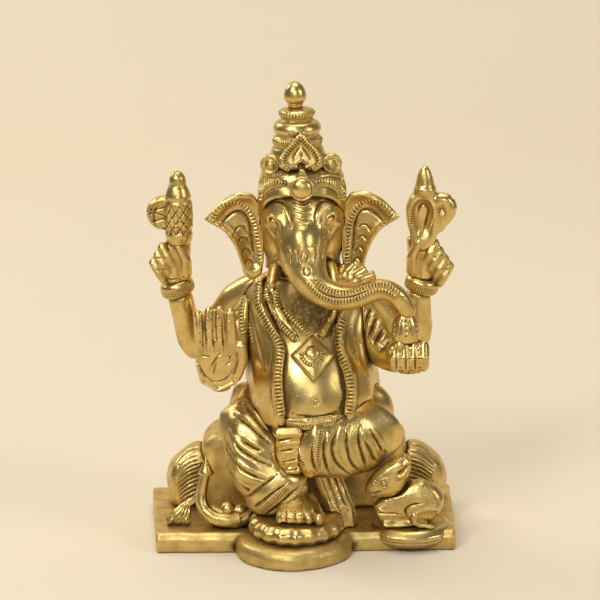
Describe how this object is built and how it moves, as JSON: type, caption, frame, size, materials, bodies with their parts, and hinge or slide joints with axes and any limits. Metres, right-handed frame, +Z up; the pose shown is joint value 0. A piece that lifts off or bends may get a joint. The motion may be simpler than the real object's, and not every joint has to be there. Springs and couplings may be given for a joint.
{
  "type": "seated ganesha idol",
  "caption": "Seated four-armed elephant-headed figure in cast brass on a flat plinth, one foot on a lotus, with a mouse, a dish of sweets and pleated side cushions.",
  "frame": {"origin": "middle of the plinth's flat underside, without its round apron", "axes": "+Z up through the crown, the face looks along -Y, and the figure's own left side is at +X"},
  "size_m": [0.1069, 0.069, 0.1553],
  "materials": {
    "brass": "polished cast brass with brown patina in its recesses",
    "aged_brass": "unpolished cast brass"
  },
  "bodies": {
    "root": {"base_plinth": "brass", "lotus_footrest": "brass", "seat_block": "aged_brass", "right_cushion": "brass", "left_cushion": "brass", "torso": "brass", "shawl": "brass", "waist_belt": "brass", "right_leg": "brass", "left_leg": "brass", "cloth_fall": "brass", "right_foot": "brass", "left_foot": "brass", "necklace": "brass", "pendant": "brass", "head": "brass", "trunk": "brass", "right_tusk": "brass", "left_tusk": "brass", "right_ear": "brass", "left_ear": "brass", "crown_cap": "brass", "crown_leaf": "brass", "crown_scrolls": "brass", "crown_tiers": "brass", "crown_finial": "brass", "forehead_drop": "brass", "right_rear_arm": "brass", "left_rear_arm": "brass", "right_bracelet": "brass", "left_bracelet": "brass", "axe_hand": "brass", "axe": "brass", "noose_hand": "brass", "noose": "brass", "blessing_arm": "brass", "blessing_hand": "brass", "offering_arm": "brass", "offering_hand": "brass", "modak": "brass", "mouse_pad": "brass", "mouse_body": "brass", "mouse_head": "brass", "sweets_bowl": "brass", "sweets": "brass", "bowl_spout": "brass", "fan_tassel": "brass"}
  },
  "joints": []
}
